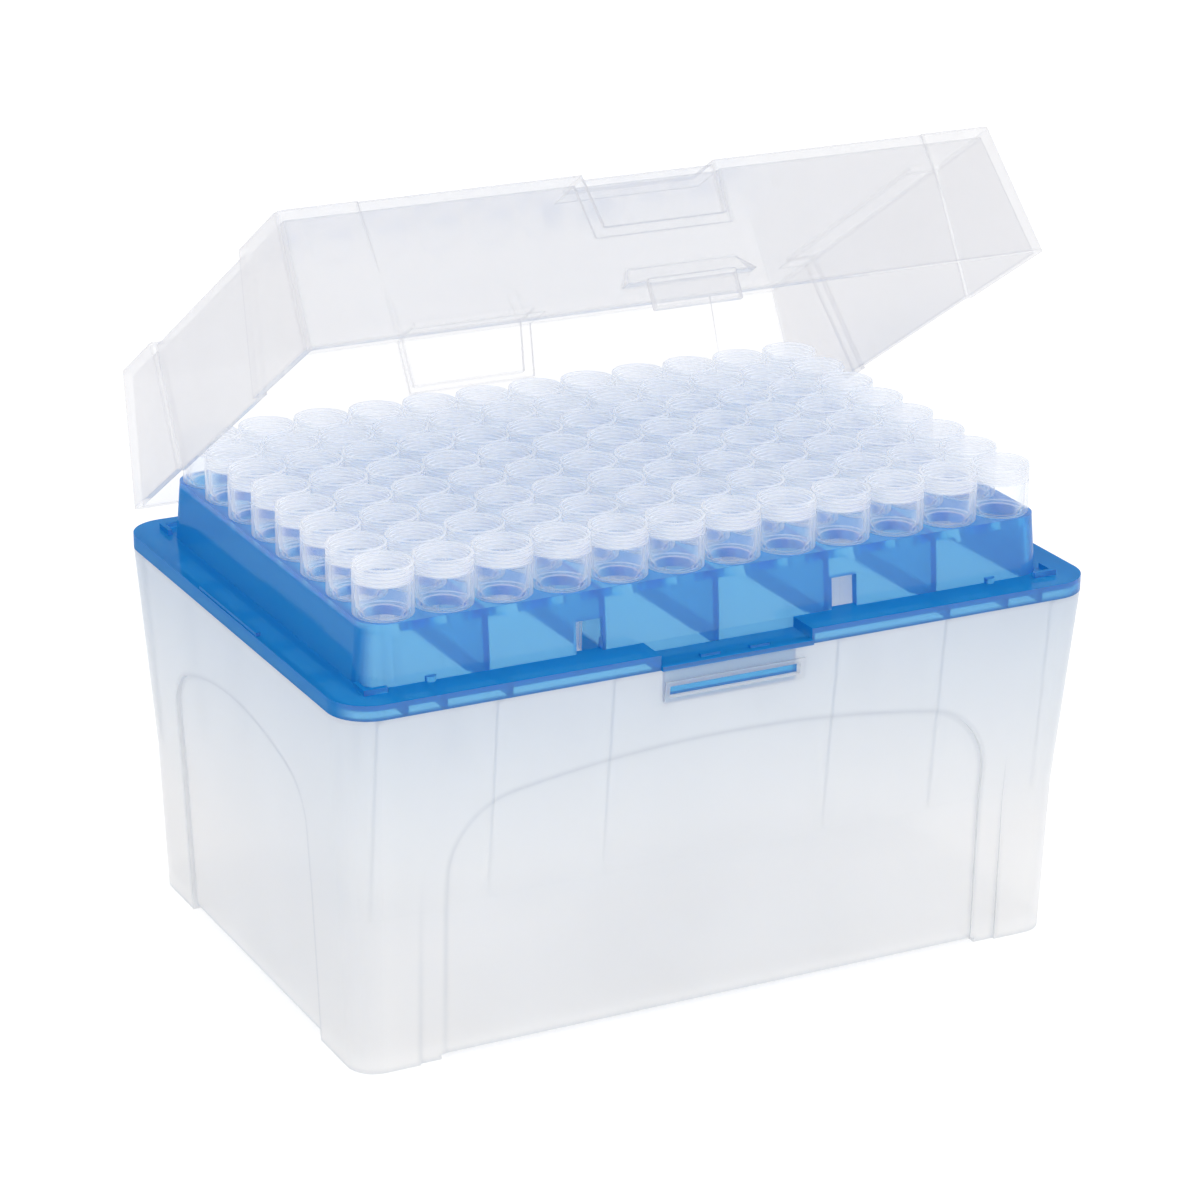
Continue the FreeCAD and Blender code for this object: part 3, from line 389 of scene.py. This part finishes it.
def tip_profile():
    """Radius and height around a tip's section, from the orifice up the outside and back down the inside."""
    point = DECK_Z - SHANK_LENGTH
    outside = [(ORIFICE_RADIUS, END_Z), (TIP_END_RADIUS, END_Z), (POINT_RADIUS, point),
               (SHANK_RADIUS, DECK_Z), (COLLAR_RADIUS - 0.15 * MM, DECK_Z),
               (COLLAR_RADIUS, DECK_Z + 0.15 * MM)]
    outside.append((COLLAR_RADIUS, BAND_Z))
    for ring in range(RING_COUNT):
        start = BAND_Z + ring * RING_PITCH
        outside += [(COLLAR_RADIUS - RING_DEPTH, start + 0.12 * RING_PITCH),
                    (COLLAR_RADIUS - 0.7 * RING_DEPTH, start + 0.35 * RING_PITCH),
                    (COLLAR_RADIUS, start + 0.65 * RING_PITCH),
                    (COLLAR_RADIUS - 0.3 * RING_DEPTH, start + 0.9 * RING_PITCH)]
    rim = [(COLLAR_RADIUS, RIM_Z - 0.35 * MM), (COLLAR_RADIUS - 0.08 * MM, RIM_Z - 0.1 * MM),
           (COLLAR_RADIUS - 0.22 * MM, RIM_Z), (MOUTH_RADIUS + 0.2 * MM, RIM_Z),
           (MOUTH_RADIUS + 0.05 * MM, RIM_Z - 0.1 * MM), (MOUTH_RADIUS, RIM_Z - 0.3 * MM)]
    inside = [(MOUTH_RADIUS, RIM_Z - MOUTH_DEPTH), (SHANK_RADIUS - TIP_WALL, DECK_Z),
              (POINT_RADIUS - TIP_WALL, point)]
    return outside + rim + inside


def lathe(bm, profile, x, y):
    """Turn a section about an upright axis at x, y."""
    rings = []
    for radius, z in profile:
        rings.append([bm.verts.new((x + radius * math.cos(2 * math.pi * turn / SEGMENTS),
                                    y + radius * math.sin(2 * math.pi * turn / SEGMENTS), z))
                      for turn in range(SEGMENTS)])
    for ring, following in zip(rings, rings[1:] + rings[:1]):
        for turn in range(SEGMENTS):
            other = (turn + 1) % SEGMENTS
            face = bm.faces.new((ring[turn], ring[other], following[other], following[turn]))
            face.smooth = True


def tip_mesh():
    bm = bmesh.new()
    for row in range(ROWS):
        lathe(bm, tip_profile(), 0.0, FIRST_ROW + row * PITCH)
    bmesh.ops.recalc_face_normals(bm, faces=bm.faces)
    mesh = bpy.data.meshes.new("tip_row")
    bm.to_mesh(mesh)
    bm.free()
    mesh.set_sharp_from_angle(angle=math.radians(50))
    mesh.materials.append(TIP)
    return mesh


TIP_ROW = tip_mesh()
for name in COLUMNS:
    low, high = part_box(name)
    piece = bpy.data.objects.new(name.replace("tips_column", "clear_tips"), TIP_ROW)
    bpy.context.scene.collection.objects.link(piece)
    piece.location.x = (low.x + high.x) / 2
    # Scattered light, and light bent by the base and the tray, goes straight past walls as thin as these.
    piece.visible_diffuse = False
    piece.visible_transmission = False
    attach(piece, "rack")
    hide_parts(name)

# ---------------------------------------------------------------- studio


# The room is a soft dome, brightest high up at the front right and dimmest low down at the back left.
BRIGHTEST = Vector((0.25, -0.45, 0.86))
DIM = 0.70
BRIGHT = 1.42
FLOOR_HALF = 3.0
FLOOR_Z = -0.05 * MM


def background_rays(tree):
    """1 for rays from the camera, and for those that glass and gloss send on."""
    path = node(tree, "ShaderNodeLightPath")
    direct = larger(tree, path.outputs["Is Camera Ray"], path.outputs["Is Glossy Ray"])
    return larger(tree, direct, path.outputs["Is Transmission Ray"])


def make_world():
    world = bpy.data.worlds.new("studio")
    bpy.context.scene.world = world
    world.use_nodes = True
    world.cycles.sampling_method = "NONE"
    tree = world.node_tree
    tree.nodes.clear()
    output = node(tree, "ShaderNodeOutputWorld")
    place = node(tree, "ShaderNodeTexCoord")
    facing = node(tree, "ShaderNodeVectorMath", operation="DOT_PRODUCT")
    link(tree, place.outputs["Generated"], facing.inputs[0])
    facing.inputs[1].default_value = BRIGHTEST.normalized()
    room = node(tree, "ShaderNodeBackground", Color=(0.99, 0.99, 1.0, 1))
    link(tree, spread_of(tree, facing.outputs["Value"], DIM, BRIGHT, -0.7, 1.0), room.inputs["Strength"])
    white = node(tree, "ShaderNodeBackground", Color=(1, 1, 1, 1), Strength=1.0)
    mix = node(tree, "ShaderNodeMixShader")
    link(tree, background_rays(tree), mix.inputs["Fac"])
    link(tree, room.outputs["Background"], mix.inputs[1])
    link(tree, white.outputs["Background"], mix.inputs[2])
    link(tree, mix.outputs["Shader"], output.inputs["Surface"])


def make_floor():
    bm = bmesh.new()
    bmesh.ops.create_grid(bm, x_segments=8, y_segments=8, size=FLOOR_HALF)
    mesh = bpy.data.meshes.new("floor")
    bm.to_mesh(mesh)
    bm.free()
    floor = bpy.data.objects.new("floor", mesh)
    bpy.context.scene.collection.objects.link(floor)
    floor.location.z = FLOOR_Z
    material, tree, output = new_material("floor")
    paper = node(tree, "ShaderNodeBsdfDiffuse", Color=(0.46, 0.46, 0.46, 1))
    glow = node(tree, "ShaderNodeEmission", Color=(1, 1, 1, 1), Strength=0.6)
    lit = node(tree, "ShaderNodeAddShader")
    plain = node(tree, "ShaderNodeBsdfDiffuse", Color=(0.9, 0.9, 0.9, 1))
    mix = node(tree, "ShaderNodeMixShader")
    link(tree, paper.outputs["BSDF"], lit.inputs[0])
    link(tree, glow.outputs["Emission"], lit.inputs[1])
    link(tree, background_rays(tree), mix.inputs["Fac"])
    link(tree, plain.outputs["BSDF"], mix.inputs[1])
    link(tree, lit.outputs["Shader"], mix.inputs[2])
    link(tree, mix.outputs["Shader"], output.inputs["Surface"])
    mesh.materials.append(material)


make_world()
make_floor()

# ---------------------------------------------------------------- camera

AZIMUTH = math.radians(27.04)
ELEVATION = math.radians(20.30)
ROLL = math.radians(0.40)
DISTANCE = 598.6 * MM
TARGET = Vector((0, 0, 50 * MM))
AIM_RIGHT = -0.15 * MM
AIM_UP = -0.36 * MM
SENSOR_WIDTH = 36.0
FOCAL_LENGTH = 119.7


def make_camera():
    data = bpy.data.cameras.new("camera")
    data.sensor_width = SENSOR_WIDTH
    data.lens = FOCAL_LENGTH
    data.clip_start = 0.01
    data.clip_end = 20.0
    made = bpy.data.objects.new("camera", data)
    bpy.context.scene.collection.objects.link(made)
    away = Vector((-math.sin(AZIMUTH) * math.cos(ELEVATION), -math.cos(AZIMUTH) * math.cos(ELEVATION),
                   math.sin(ELEVATION)))
    right = Vector((0, 0, 1)).cross(away).normalized()
    up = away.cross(right)
    turned_right = math.cos(ROLL) * right + math.sin(ROLL) * up
    turned_up = math.cos(ROLL) * up - math.sin(ROLL) * right
    place = TARGET + DISTANCE * away + AIM_RIGHT * turned_right + AIM_UP * turned_up
    axes = Matrix((turned_right, turned_up, away)).transposed()
    made.matrix_world = Matrix.Translation(place) @ axes.to_4x4()
    bpy.context.scene.camera = made


make_camera()

scene = bpy.context.scene
scene.view_settings.view_transform = "Standard"
scene.cycles.max_bounces = 24
scene.cycles.transmission_bounces = 24
scene.cycles.transparent_max_bounces = 128
scene.cycles.diffuse_bounces = 12
scene.cycles.glossy_bounces = 6
